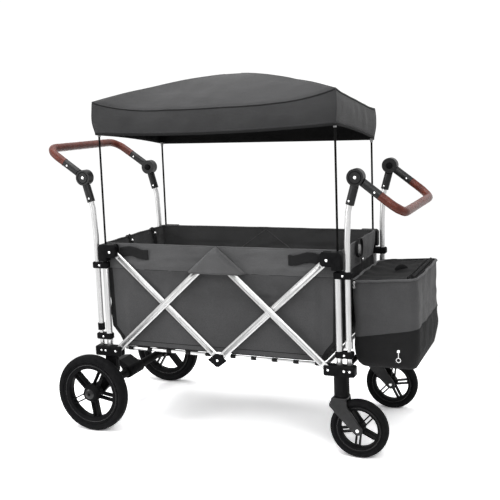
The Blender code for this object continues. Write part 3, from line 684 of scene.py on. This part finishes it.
def add_floor_pads():
    """The floor mat's two halves, which lie on the rails of the floor frames and fold up with them."""
    plan = ring_plan(20, 20, 5)
    levels = ((0.3182, 0.010), (0.3200, 0.003), (0.3240, 0.0))
    levels += ((0.3275, 0.003), (0.3295, 0.010), (0.3300, 0.030))
    for end, e in ENDS.items():
        batch = Batch()
        rows = []
        for z, inset in levels:
            low, high = sorted((e * (0.0345 + inset), e * (0.3985 - inset)))
            ring = ring_points(plan, low, high, 0.2365 - inset, 0.020)
            rows.append([(x, y, z + rough((x, y, 0), 0.08, 0.0008)) for (x, y), _ in ring])
        batch.grid(rows, closed=True, zone=lambda i, j: 1 if i < 2 else 0)
        batch.cap(0, len(plan), 1, back=True)
        batch.cap(5 * len(plan), len(plan))
        pad = batch.build(f"floor_pad_{end}", ["lining", "black_cloth"], f"{end}_floor")


def fold_with_tub(obj):
    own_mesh(obj)


def flap_point(s, across, down):
    """A point of the pocket flap over the middle pivot of one side."""
    x = 0.113 * across * down + 0.001
    z = 0.7135 - 0.0945 * down
    bulge = 0.0335 * smooth(down / 0.2) * (1 - abs(across) ** 10)
    bulge += rough((x, s, z), 0.03, 0.0012)
    return (x, s * (0.2430 + bulge), z)


def add_flaps():
    for side, s in SIDES.items():
        rows = [[flap_point(s, 2 * i / 24 - 1, max(0.02, k / 14)) for i in range(25)] for k in range(15)]
        flap = Batch().grid(rows).build(f"pivot_flap_{side}", ["band"], "rear_top")
        thicken(flap, 0.0016)
        thread = Batch()
        edges = [[(edge, k / 20) for k in range(2, 20)] for edge in (-0.955, 0.955)]
        for line in [*edges, [(2 * k / 30 - 1, 0.95) for k in range(31)]]:
            path = [Vector(flap_point(s, *spot)) + Vector((0, s * 0.0012, 0)) for spot in line]
            stitch(thread, path, 0.0065)
        stitches = thread.build(f"flap_stitches_{side}", ["lining"], "rear_top")
        inner = Batch()
        for foot in (-0.10, 0.115):
            line = []
            for k in range(16):
                x, z = 0.009 + (foot - 0.009) * k / 15, 0.705 - 0.077 * k / 15
                line.append(tub_point((x, s * TUB_HALF_Y), (0, s), z, -0.0018))
            inner.tube(line, 0.0011, 6)
        inside = inner.build(f"flap_seam_{side}", ["thread"], "rear_top")
        fold_with_tub(inside)
        for obj in (flap, stitches):
            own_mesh(obj)


def strap(name, path, width, across, body, crumple=0.0, fold=True):
    """A webbing strap along a path. across is the direction of its width, crumple the depth of its folds."""
    line = resample(path, 0.005)
    half = Vector(across).normalized() * width / 2
    rows = []
    for i, point in enumerate(line):
        heading = line[min(i + 1, len(line) - 1)] - line[max(i - 1, 0)]
        out = heading.cross(half).normalized()
        frayed = half * (1 + rough(point, 0.012, 110 * crumple))
        spots = [point + frayed * (k / 4 - 1) for k in range(9)]
        rows.append([spot + out * rough(spot, 0.015, crumple) for spot in spots])
    obj = Batch().grid(rows).build(name, ["webbing"], body)
    thicken(obj, 0.0016)
    length = sum((b - a).length for a, b in zip(line, line[1:]))
    if fold:
        fold_with_tub(obj)


def add_straps():
    for side, s in SIDES.items():
        for end, e in ENDS.items():
            path = []
            for k in range(25):
                t = k / 24
                height = 0.683 - 0.008 * t * t + 0.004 * math.sin(7 * t + s)
                path.append((e * (0.393 - 0.119 * t), s * 0.2407, height))
            strap(f"rim_strap_{end}_{side}", path, 0.036, (0, 0, 1), f"{end}_top", 0.0011, fold=False)
    for name, y in HARNESS_Y.items():
        path = [(-0.468, y, 0.690), (-0.467, y, 0.711), (-0.460, y, 0.7175), (-0.452, y, 0.710)]
        for k in range(7):
            path.append((-0.447 + 0.004 * math.sin(k), y + 0.004 * math.sin(2 * k), 0.69 - 0.028 * k))
        strap(f"harness_strap_{name}", path, 0.024, (0, 1, 0), "rear_top", 0.003)
    loop = []
    for t in turns(28) + [2 * math.pi]:
        x = 0.4745 - 0.004 * abs(math.sin(t))
        loop.append((x, -0.036 + 0.040 * math.sin(t), 0.689 - 0.034 * math.cos(t)))
    strap("front_loop", loop, 0.010, (1, 0, 0), "rear_top")
    tail = [(0.4735, -0.022, 0.655), (0.4745, -0.014, 0.632), (0.4735, -0.008, 0.612)]
    strap("loop_tail", tail, 0.014, (0, 1, 0.3), "rear_top")
    rows = [[(0.4725, -0.052 + 0.017 * j, z - 0.005 * j) for j in range(3)] for z in (0.672, 0.672 + 0.034)]
    cover = Batch().grid(rows).build("loop_patch", ["clip"], "rear_top")
    thicken(cover, 0.0012)
    fold_with_tub(cover)
    rings = Batch()
    for y in HARNESS_Y.values():
        rings.dome((-0.4425, y, 0.696), (1, -0.4, 0.2), 0.0050, 0.0026)
    rings.dome((0.4720, 0.010, 0.640), (1, 0, 0), 0.0050, 0.0022)
    fold_with_tub(rings.build("strap_rivets", ["rivet"], "rear_top"))
    rail_y, rail_z = FLOOR_RAIL
    for end, e in ENDS.items():
        tabs = Batch()
        for s in SIDES.values():
            for k in range(5):
                x = e * (0.050 + 0.08 * k)
                loop = [(s * (rail_y + y), rail_z + z) for y, z in circle(TAB_R, 16)]
                tabs.grid([[(x + width, y, z) for y, z in loop] for width in (-0.010, 0.010)], closed=True)
        thicken(tabs.build(f"rail_tabs_{end}", ["webbing"], f"{end}_floor"), 0.0006)


# Basket

# Height, back, front and half width of the basket at each level
BASKET_RINGS = (
    (0.300, 0.504, 0.696, 0.180),
    (0.312, 0.494, 0.703, 0.191),
    (0.335, 0.488, 0.709, 0.199),
    (0.365, 0.486, 0.715, 0.203),
    (0.440, 0.485, 0.711, 0.2035),
    (0.500, 0.485, 0.710, 0.2025),
    (0.560, 0.485, 0.710, 0.2005),
    (0.600, 0.485, 0.711, 0.1985),
)
# The plan that the levels stretch: back, front, half width and corner radius
BASKET_PLAN = (0.485, 0.711, 0.2, 0.034)


def seam_height(x):
    """Height of the slanting seam between the basket's grey upper part and its black base."""
    return 0.408 + 0.175 * (x - 0.509)


def basket_ring(z):
    """Back, front and half width of the basket at a height."""
    for a, b in zip(BASKET_RINGS, BASKET_RINGS[1:]):
        if z <= b[0]:
            break
    t = clamp((z - a[0]) / (b[0] - a[0]))
    return [p + (q - p) * t for p, q in zip(a[1:], b[1:])]


def basket_point(point, way, z):
    """Moves a point of the basket's wall in or out, and raises the rim towards the front."""
    x, y = point
    out = rough((x, y, z), 0.07, 0.0045) + rough((x * 2, y * 2, z * 0.6), 0.04, 0.0016)
    out += crease((x * 0.8, y * 0.8, z * 1.5), 0.09, 0.0030)
    fade = smooth((z - 0.30) / 0.03)
    out = (out - 0.002) * fade
    rise = 0.014 * clamp((x - 0.5) / 0.21) * smooth((z - 0.5) / 0.1)
    return (x + way[0] * out, y + way[1] * out, z + rise)


def basket_row(plan, share):
    """One row of the basket's wall: shares up to 0 lie below the slanting seam, the others above it."""
    row = []
    plan_back, plan_front, plan_half, _ = BASKET_PLAN
    for p, way in ring_points(plan, *BASKET_PLAN):
        seam = seam_height(p[0])
        z = seam + share * (seam - BASKET_RINGS[0][0] if share < 0 else BASKET_RINGS[-1][0] - seam)
        back, front, half = basket_ring(z)
        t = (p[0] - plan_back) / (plan_front - plan_back)
        row.append(basket_point((back + (front - back) * t, p[1] * half / plan_half), way, z))
    return row


def add_basket():
    plan = ring_plan(30, 40, 7)
    base_rows = 14
    rows = [basket_row(plan, k / base_rows - 1) for k in range(base_rows)]
    rows += [basket_row(plan, k / 20) for k in range(21)]
    shell = Batch().grid(rows, closed=True, zone=lambda i, j: 1 if i < base_rows else 0)
    shell.cap(0, len(plan), 1)
    basket = shell.build("basket_cloth", ["fabric", "black_cloth", "lining", "lining"], "front_frame")
    hollow(basket, (0.61, 0, 0.45), 0.003, 2)
    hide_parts("basket")
    rim = Batch().tube(rows[-1], 0.0046, 10, closed=True).build("basket_rim", ["band"], "front_frame")
    seam = Batch().tube(rows[base_rows], 0.0014, 6, closed=True)
    belt = seam.build("basket_seam", ["black_cloth"], "front_frame")
    thread = Batch()
    for k in (18, 19):
        stitch(thread, rows[base_rows + k] + rows[base_rows + k][:1], 0.009)
    stitches = thread.build("basket_stitches", ["lining"], "front_frame")
    add_basket_lid()
    hardware = Batch()
    spot = Vector((0.645, -0.2035, 0.368))
    hardware.dome(spot, (0, -1, 0), 0.0058, 0.003)
    ring = [spot + Vector((0.0075 * math.sin(t), -0.002, -0.030 - 0.0075 * math.cos(t))) for t in turns(16)]
    hardware.tube(ring, 0.0016, 6, closed=True)
    hardware.tube([spot + Vector((0, -0.001, -0.004)), spot + Vector((0, -0.002, -0.0235))], 0.0013, 6)
    for s in SIDES.values():
        for k in (-1, 1):
            link = Vector((0.4957, s * 0.206, 0.590 + 0.0065 * k))
            hook = [link + Vector((0.0032 * math.sin(t), 0, 0.0045 * math.cos(t))) for t in turns(14)]
            hardware.tube(hook, 0.0013, 6, closed=True)
    hardware.build("basket_pull", ["rivet"], "front_frame")
    for side, s in SIDES.items():
        path = [(0.489, s * 0.196, 0.600), (0.487, s * 0.214, 0.603), (0.4805, s * 0.2335, 0.604)]
        strap(f"basket_tab_{side}", path, 0.022, (0, 0, 1), "front_frame", fold=False)


def lid_point(t, v):
    """A point of the basket's lid: t runs from the back to the zipped front edge, v from right to left."""
    x = 0.4905 + 0.2135 * t
    half = 0.1935 - 0.010 * smooth((t - 0.8) / 0.2)
    sag = 0.016 * math.sin(math.pi * t) * (1 - v * v) + rough((x, v * half, 0), 0.045, 0.005) * (1 - t**4)
    return Vector((x, v * half, 0.600 - sag + 0.0125 * t))


def add_basket_lid():
    """The zipped lid, which lies sunk in the mouth with its free edge towards the front."""
    rows = [[lid_point(k / 20, 2 * j / 26 - 1) for j in range(27)] for k in range(21)]
    lid = Batch().grid(rows).build("basket_lid", ["black_cloth"], "front_frame")
    thicken(lid, 0.002)
    teeth = Batch()
    lift = Vector((0, 0, 0.0012))
    edge = [row[0] for row in rows] + rows[-1] + [row[-1] for row in reversed(rows)]
    teeth.tube([point + lift for point in edge], 0.0030, 6, flat=0.5)
    for back, rise, size in ((0.016, 0.004, 0.0085), (0.033, 0.001, 0.0050)):
        shift = Vector((-back, 0, rise))
        teeth.tube([point + shift for point in rows[-1][1:-1]], size, 8, flat=0.55)
    tape = teeth.build("lid_zip", ["webbing"], "front_frame")
    start = lid_point(0.43, 0.26) + Vector((0, 0, 0.002))
    path = []
    for t in (0, 0.2, 0.4, 0.6, 0.8, 1.0):
        path.append(start + Vector((0.034 * t, 0.030 * t, 0.013 * math.sin(math.pi * t))))
    pull = Batch().tube(path, 0.009, 8, flat=0.2).build("lid_tab", ["webbing"], "front_frame")


# Handles, wheels and small hardware


def handle_point(end, reach, across):
    """A point of a handle, that far from its hinge axis along the arms."""
    e, tilt = ENDS[end], HANDLE_TILT[end]
    return Vector((e * (HINGE[0] + reach * math.cos(tilt)), across, HINGE[2] + reach * math.sin(tilt)))


def grip_path():
    """(reach, across) of one grip's centreline, from its right arm to its left one."""
    inset, half = GRIP_REACH - GRIP_CORNER_R, HINGE[1]
    path = [(GRIP_START, -half), ((GRIP_START + inset) / 2, -half)]
    for k in range(13):
        t = math.radians(-90 + 90 * k / 12)
        across = -half + GRIP_CORNER_R + GRIP_CORNER_R * math.sin(t)
        path.append((inset + GRIP_CORNER_R * math.cos(t), across))
    straight = [(GRIP_REACH, -half + GRIP_CORNER_R + k * (half - GRIP_CORNER_R) / 12) for k in range(1, 12)]
    right = path + straight + [(GRIP_REACH, 0.0)]
    return right + [(reach, -across) for reach, across in reversed(right[:-1])]


def add_grips():
    for end, e in ENDS.items():
        path = resample([handle_point(end, reach, across) for reach, across in grip_path()], 0.006)
        count = len(path)

        def radius(share):
            i = min(count - 1, round(share * (count - 1)))
            ends = 0.0005 * smooth(1 - min(share, 1 - share) / 0.015)
            return GRIP_R - 0.0003 + ends + rough(path[i], 0.012, 0.0007)

        wrap = Batch().tube(path, radius, 20)
        grip = wrap.build(f"{end}_grip_leather", ["grip_leather"], f"{end}_handle")
        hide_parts(f"{end}_grip")
        down = Vector((e * math.sin(HANDLE_TILT[end]), 0, -math.cos(HANDLE_TILT[end])))
        middle = handle_point(end, GRIP_REACH * 0.55, 0.0)
        inner = []
        for i, point in enumerate(path):
            heading = (path[min(i + 1, count - 1)] - path[max(i - 1, 0)]).normalized()
            inside = heading.cross(down).normalized()
            if inside.dot(middle - point) < 0:
                inside = -inside
            inner.append(point + (inside * 0.75 + down * 0.66).normalized() * (GRIP_R - 0.0003))
        thread = Batch()
        for shift in (-0.0016, 0.0016):
            stitch(thread, [point + down * shift for point in inner[2:-2]], 0.0062, 0.0042, 0.00055)
        thread.build(f"{end}_grip_stitches", ["brown_thread"], f"{end}_handle")


# Radius, depth and half width of each end's tyres
TYRE = {"rear": (0.1465, 0.034, 0.0238), "front": (0.1020, 0.024, 0.0198)}


def tyre_profile(radius, depth, half):
    """The tyre's outline, with a groove by the bead and a step at the tread's edge."""
    seat = radius - depth
    shape = ((0.0, 0.70), (0.08, 0.84), (0.16, 0.88), (0.19, 0.80), (0.23, 0.80), (0.27, 0.93))
    shape += ((0.42, 1.0), (0.60, 0.985), (0.72, 0.92), (0.735, 0.87), (0.76, 0.87), (0.78, 0.86))
    shape += ((0.88, 0.72), (0.95, 0.55), (0.985, 0.38), (1.0, 0.16))
    right = [(seat + depth * up, half * out) for up, out in shape]
    return right + [(r, -y) for r, y in reversed(right)]


def add_wheels():
    for end in ENDS:
        radius, depth, half = TYRE[end]
        for side in SIDES:
            body = f"{end}_wheel_{side}"
            low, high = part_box(f"{body}_tyre")
            centre = ((low[0] + high[0]) / 2 - SHIFT, (low[1] + high[1]) / 2, radius)
            batch = Batch().turned(tyre_profile(radius, depth, half), centre, 96)
            tyre = batch.build(f"{body}_tread", ["tyre"], body)
            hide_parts(f"{body}_tyre")
            bead = Batch()
            x, y, z = centre
            for s in (1, -1):
                side_y = y + s * half * 0.70
                ring = [(x + a, side_y, z + b) for a, b in circle(radius - depth - 0.0022, 72)]
                bead.tube(ring, 0.0020, 8, closed=True)
                if end == "rear":
                    bead.dome((x, y + s * (half * 1.1 - 0.0004), z), (0, s, 0), 0.019, 0.0042, 28)
            bead.build(f"{body}_bead", ["rim_black"], body)


def add_rivets():
    heads = {}

    def head(body, point, normal, radius, height=0.0018):
        heads.setdefault(body, Batch()).dome(point, normal, radius, height)

    for side, s in SIDES.items():
        out = (0, s, 0)
        for end, e in ENDS.items():
            lift, tilt = f"{end}_handle_lift", f"{end}_handle"
            head(lift, (e * HINGE[0], s * HINGE_FACE_Y, HINGE[2]), out, 0.0058, 0.0026)
            head(lift, (e * 0.4995, s * SLEEVE_FACE_Y, 0.8835), out, 0.0036)
            head(lift, (e * 0.4995, s * (2 * HINGE[1] - SLEEVE_FACE_Y), 0.8835), (0, -s, 0), 0.0036)
            for face in (1, -1):
                spot = handle_point(end, 0.081, s * (HINGE[1] + face * 0.0144))
                head(tilt, spot, (0, face * s, 0), 0.0036)
            head(f"{end}_top", (e * PIVOT[0], s * 0.2733, PIVOT[1]), out, 0.0052)
            for z in (0.6315, 0.357):
                head(f"{end}_frame", (e * 0.4725, s * 0.2643, z), out, 0.0040)
            for x in (0.418, 0.4745, 0.4945) if end == "front" else (0.416, 0.459, 0.4765):
                head(f"{end}_frame", (e * x, s * 0.2773, 0.306), out, 0.0044)
        head("rising_front_bars", (0.001, s * 0.2668, PIVOT[2]), out, 0.0048)
        for x, y, body in ((-0.21, 0.2610, "rising_rear_bars"), (0.21, 0.2710, "falling_front_bars")):
            head(body, (x, s * y, 0.493), out, 0.0046, 0.0012)
        for offset in (0.031, -0.031):
            way = (0, math.copysign(1, offset), 0)
            head(f"caster_{side}", (0.518, s * 0.25 + offset, TYRE["front"][0]), way, 0.0062, 0.0024)
    for body, batch in heads.items():
        batch.build(f"rivets_{body}", ["rivet"], body)
    for end, e in ENDS.items():
        grooves = Batch()
        for s in SIDES.values():
            ring = [(e * HINGE[0] + x, s * HINGE_FACE_Y, HINGE[2] + z) for x, z in circle(0.0205, 40)]
            grooves.tube(ring, 0.0015, 8, closed=True)
        grooves.build(f"hinge_rings_{end}", ["black_plastic"], f"{end}_handle_lift")


def add_channels():
    """A rougher, darker strip along the outer face of each scissor bar, over its recessed channel: its darker
    tone is painted shade.
    """
    middle = (0.001, PIVOT[2])
    bars = {
        "falling_rear_bars": ((-PIVOT[0], PIVOT[1]), middle, 0.2475),
        "rising_rear_bars": ((-PIVOT[0], PIVOT[2]), (0.0, PIVOT[1]), 0.2575),
        "rising_front_bars": (middle, (PIVOT[0], PIVOT[1]), 0.2575),
        "falling_front_bars": ((0.0, PIVOT[1]), (PIVOT[0], PIVOT[2]), 0.2675),
    }
    for body, (start, end, layer) in bars.items():
        start, end = Vector(start), Vector(end)
        along = (end - start).normalized()
        across = Vector((-along.y, along.x)) * 0.0058
        start, end = start + along * 0.034, end - along * 0.034
        batch = Batch()
        for s in SIDES.values():
            rows = []
            for spot in (start - across, start + across), (end - across, end + across):
                rows.append([(x, s * (layer + 0.0047), z) for x, z in spot])
            batch.grid(rows)
        thicken(batch.build(f"channels_{body}", ["channel"], body), 0.0003)


# Studio


def add_camera():
    """The camera that was fitted to the photo: its direction, and its focal length and centre in pixels."""
    azimuth, elevation, roll = math.radians(22.47), math.radians(7.79), math.radians(-2.07)
    focal, centre_x, centre_y, picture = 847.2952, 248.6868, 221.2131, 500.0
    back = Vector((
        math.sin(azimuth) * math.cos(elevation), -math.cos(azimuth) * math.cos(elevation), math.sin(elevation)
    ))
    right = Vector((math.cos(azimuth), math.sin(azimuth), 0))
    up = back.cross(right)
    turned_right = right * math.cos(roll) + up * math.sin(roll)
    turned_up = up * math.cos(roll) - right * math.sin(roll)
    data = bpy.data.cameras.new("camera")
    data.sensor_width = 36.0
    data.lens = focal / picture * data.sensor_width
    data.shift_x = (picture / 2 - centre_x) / picture
    data.shift_y = (centre_y - picture / 2) / picture
    camera = bpy.data.objects.new("camera", data)
    axes = Matrix((turned_right, turned_up, back)).transposed().to_4x4()
    camera.matrix_world = Matrix.Translation((1.2506 + SHIFT, -2.945, 1.2074)) @ axes
    scene.collection.objects.link(camera)
    scene.camera = camera


# What the camera sees of the floor near the wheels, and what the object gets back from it
FLOOR_TONE, FLOOR_BOUNCE = 1.9, 0.70


def visible_rays(tree):
    """1 for rays that show the background: from the camera, off a gloss or through glass."""
    path = tree.nodes.new("ShaderNodeLightPath")
    output = path.outputs["Is Camera Ray"]
    for name in ("Is Glossy Ray", "Is Transmission Ray"):
        most = tree.nodes.new("ShaderNodeMath")
        most.operation = "MAXIMUM"
        tree.links.new(output, most.inputs[0])
        tree.links.new(path.outputs[name], most.inputs[1])
        output = most.outputs["Value"]
    return output


def add_floor():
    """A pale floor that burns out to white away from the wheels, as in a cut-out product picture."""
    mesh = bpy.data.meshes.new("floor")
    size = 14.0
    corners = [(-size, -size, 0), (size, -size, 0), (size, size, 0), (-size, size, 0)]
    mesh.from_pydata(corners, [], [(0, 1, 2, 3)])
    floor = bpy.data.objects.new("floor", mesh)
    floor.location.z = -0.0004
    scene.collection.objects.link(floor)
    paint = Paint("floor")
    tree = paint.tree
    glow = paint.node("ShaderNodeEmission", Strength=1.03)
    clear = visible_rays(tree)
    bounced, shown = (*(FLOOR_BOUNCE,) * 3, 1), (FLOOR_TONE, FLOOR_TONE, FLOOR_TONE * 1.005, 1)
    tone = paint.node("ShaderNodeMix", data_type="RGBA", A=bounced, B=shown, Factor=clear)
    diffuse = paint.node("ShaderNodeBsdfDiffuse", Color=tone.outputs["Result"])
    reach = paint.node("ShaderNodeVectorMath", operation="LENGTH")
    paint.link(paint.place, reach.inputs[0])
    limits = {"Value": reach.outputs["Value"], "From_Min": 0.7, "From_Max": 1.3}
    far = paint.node("ShaderNodeMapRange", interpolation_type="SMOOTHSTEP", **limits)
    outer = paint.node("ShaderNodeMath", operation="MULTIPLY")
    paint.link(far.outputs["Result"], outer.inputs[0])
    paint.link(clear, outer.inputs[1])
    blend = paint.node("ShaderNodeMixShader", Fac=outer.outputs["Value"])
    paint.link(diffuse.outputs["BSDF"], blend.inputs[1])
    paint.link(glow.outputs["Emission"], blend.inputs[2])
    paint.link(blend.outputs["Shader"], tree.nodes["Material Output"].inputs["Surface"])
    tree.nodes.remove(paint.shader)
    mesh.materials.append(paint.material)


def add_light(name, place, size, power):
    """An area lamp that faces the middle of the wagon."""
    data = bpy.data.lights.new(name, "AREA")
    data.shape = "RECTANGLE"
    data.size, data.size_y = size
    data.energy = power
    lamp = bpy.data.objects.new(name, data)
    lamp.location = place
    lamp.rotation_euler = (Vector(place) - Vector((0, 0, 0.6))).to_track_quat("Z", "Y").to_euler()
    lamp.visible_camera = False
    scene.collection.objects.link(lamp)


def add_studio():
    """A white surround that lights the object softly, and three lamps."""
    world = bpy.data.worlds.new("studio")
    world.use_nodes = True
    nodes, links = world.node_tree.nodes, world.node_tree.links
    blend = nodes.new("ShaderNodeMixShader")
    links.new(visible_rays(world.node_tree), blend.inputs["Fac"])
    light, seen = nodes["Background"], nodes.new("ShaderNodeBackground")
    for shade, strength, slot in ((light, 0.50, 1), (seen, 1.05, 2)):
        shade.inputs["Color"].default_value = (1, 1, 1, 1)
        shade.inputs["Strength"].default_value = strength
        links.new(shade.outputs["Background"], blend.inputs[slot])
    links.new(blend.outputs["Shader"], nodes["World Output"].inputs["Surface"])
    scene.world = world
    add_light("top", (-0.2, -0.3, 3.6), (3.0, 3.0), 115.0)
    add_light("key", (2.2, -3.0, 3.0), (2.0, 2.0), 70.0)
    add_light("fill", (-2.8, -2.6, 1.6), (1.6, 2.0), 55.0)
    scene.view_settings.view_transform = "Standard"


def main():
    finish_solids()
    add_canopy()
    add_tub()
    add_floor_pads()
    add_flaps()
    add_straps()
    add_basket()
    add_grips()
    add_wheels()
    add_rivets()
    add_channels()
    add_camera()
    add_floor()
    add_studio()


main()
